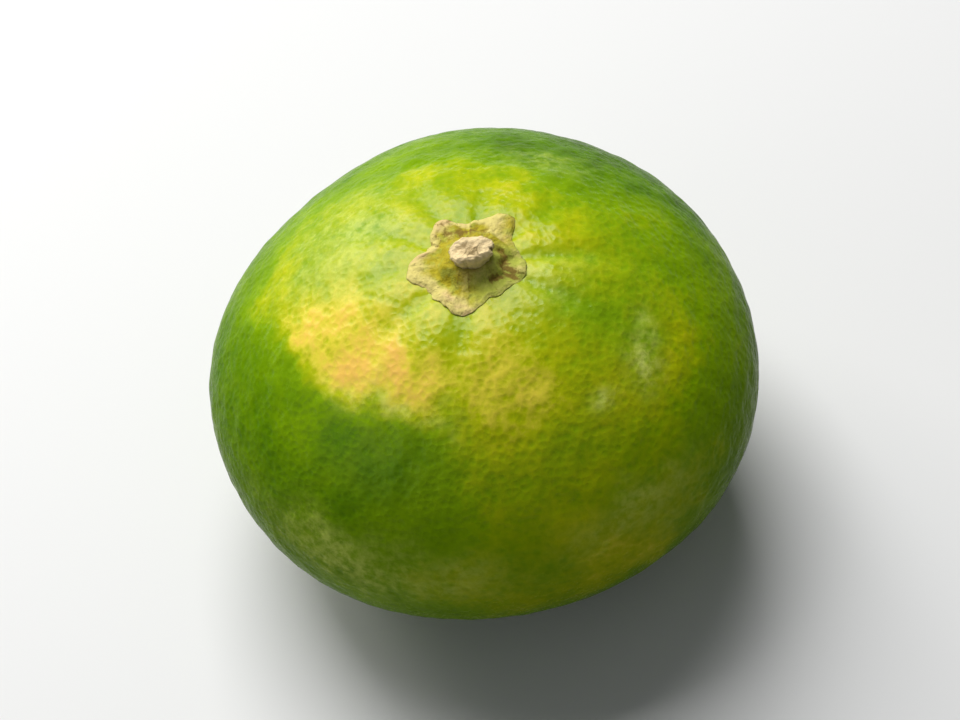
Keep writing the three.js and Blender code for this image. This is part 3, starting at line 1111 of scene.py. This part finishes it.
def add_floor(settings):
    """Adds a flat round floor of rings about the origin."""
    rings = [circle(round_angles(FLOOR_COLUMNS), settings.floor_radius * part) for part in FLOOR_RINGS]
    points = np.concatenate([[[0, 0, 0]], *rings])
    faces = closed_rings(len(rings), FLOOR_COLUMNS)[:-FLOOR_COLUMNS]
    floor = new_piece("floor", points, faces, {}, floor_material(settings))


def add_light(name, lamp, watts):
    """Adds a square soft light that looks at the origin."""
    light = bpy.data.lights.new(name, "AREA")
    light.shape = "SQUARE"
    light.size = lamp.width
    light.energy = watts
    light.color = lamp.tint
    placed = bpy.data.objects.new(name, light)
    toward = Vector(lamp.direction).normalized()
    placed.location = toward * lamp.distance
    placed.rotation_euler = toward.to_track_quat("Z", "Y").to_euler()
    bpy.context.scene.collection.objects.link(placed)


def light_room(scene):
    """Gives the scene a faint even light and plain colours."""
    world = bpy.data.worlds.new("pale_room")
    world.use_nodes = True
    background = world.node_tree.nodes["Background"]
    background.inputs["Color"].default_value = ROOM_COLOUR
    background.inputs["Strength"].default_value = ROOM_STRENGTH
    scene.world = world
    scene.view_settings.view_transform = "Standard"


def add_camera(scene, settings):
    """Adds a camera in front of the fruit that looks down at its middle."""
    middle = Vector((0, 0, FRUIT_HIGH.z / 2))
    back = Vector((0, -math.cos(settings.elevation), math.sin(settings.elevation)))
    camera = bpy.data.objects.new("camera", bpy.data.cameras.new("camera"))
    camera.data.lens = settings.lens
    camera.data.sensor_width = 36
    camera.data.clip_start = 0.01
    turned = back.to_track_quat("Z", "Y") @ Matrix.Rotation(-settings.roll, 3, "Z").to_quaternion()
    camera.rotation_euler = turned.to_euler()
    camera.location = middle + back * settings.distance
    scene.collection.objects.link(camera)
    scene.camera = camera


class MANDARIN_OT_set_stage(bpy.types.Operator):
    """Set the floor, the soft lights and the camera"""

    bl_idname = "mandarin.set_stage"
    bl_label = "Set stage"

    def execute(self, context):
        settings = context.scene.mandarin_stage
        add_floor(settings)
        add_light("key", KEY, settings.key_power)
        add_light("above", ABOVE, settings.top_power)
        add_light("fill", FILL, settings.fill_power)
        light_room(context.scene)
        add_camera(context.scene, settings)
        return {"FINISHED"}


class MANDARIN_PT_sidebar(bpy.types.Panel):
    """The steps that build the mandarin, in order"""

    bl_idname = "MANDARIN_PT_sidebar"
    bl_label = "Satsuma mandarin"
    bl_space_type = "VIEW_3D"
    bl_region_type = "UI"
    bl_category = "Mandarin"

    def draw(self, context):
        for operator in OPERATORS:
            self.layout.operator(operator.bl_idname)


OPERATORS = (MANDARIN_OT_grow_rind, MANDARIN_OT_grow_calyx, MANDARIN_OT_grow_stub, MANDARIN_OT_set_stage)
SETTINGS = {
    "mandarin_rind": RindSettings,
    "mandarin_calyx": CalyxSettings,
    "mandarin_stub": StubSettings,
    "mandarin_stage": StageSettings,
}


def register():
    """Registers the classes and hangs the settings on the scene."""
    for made in (*SETTINGS.values(), *OPERATORS, MANDARIN_PT_sidebar):
        bpy.utils.register_class(made)
    for name, group in SETTINGS.items():
        setattr(bpy.types.Scene, name, PointerProperty(type=group))


def unregister():
    """Takes the settings and the classes away again."""
    for name in SETTINGS:
        delattr(bpy.types.Scene, name)
    for made in (MANDARIN_PT_sidebar, *OPERATORS, *SETTINGS.values()):
        bpy.utils.unregister_class(made)


def main():
    """Builds every piece and the stage."""
    register()
    bpy.ops.mandarin.grow_rind()
    bpy.ops.mandarin.grow_calyx()
    bpy.ops.mandarin.grow_stub()
    bpy.ops.mandarin.set_stage()


if __name__ == "__main__":
    main()
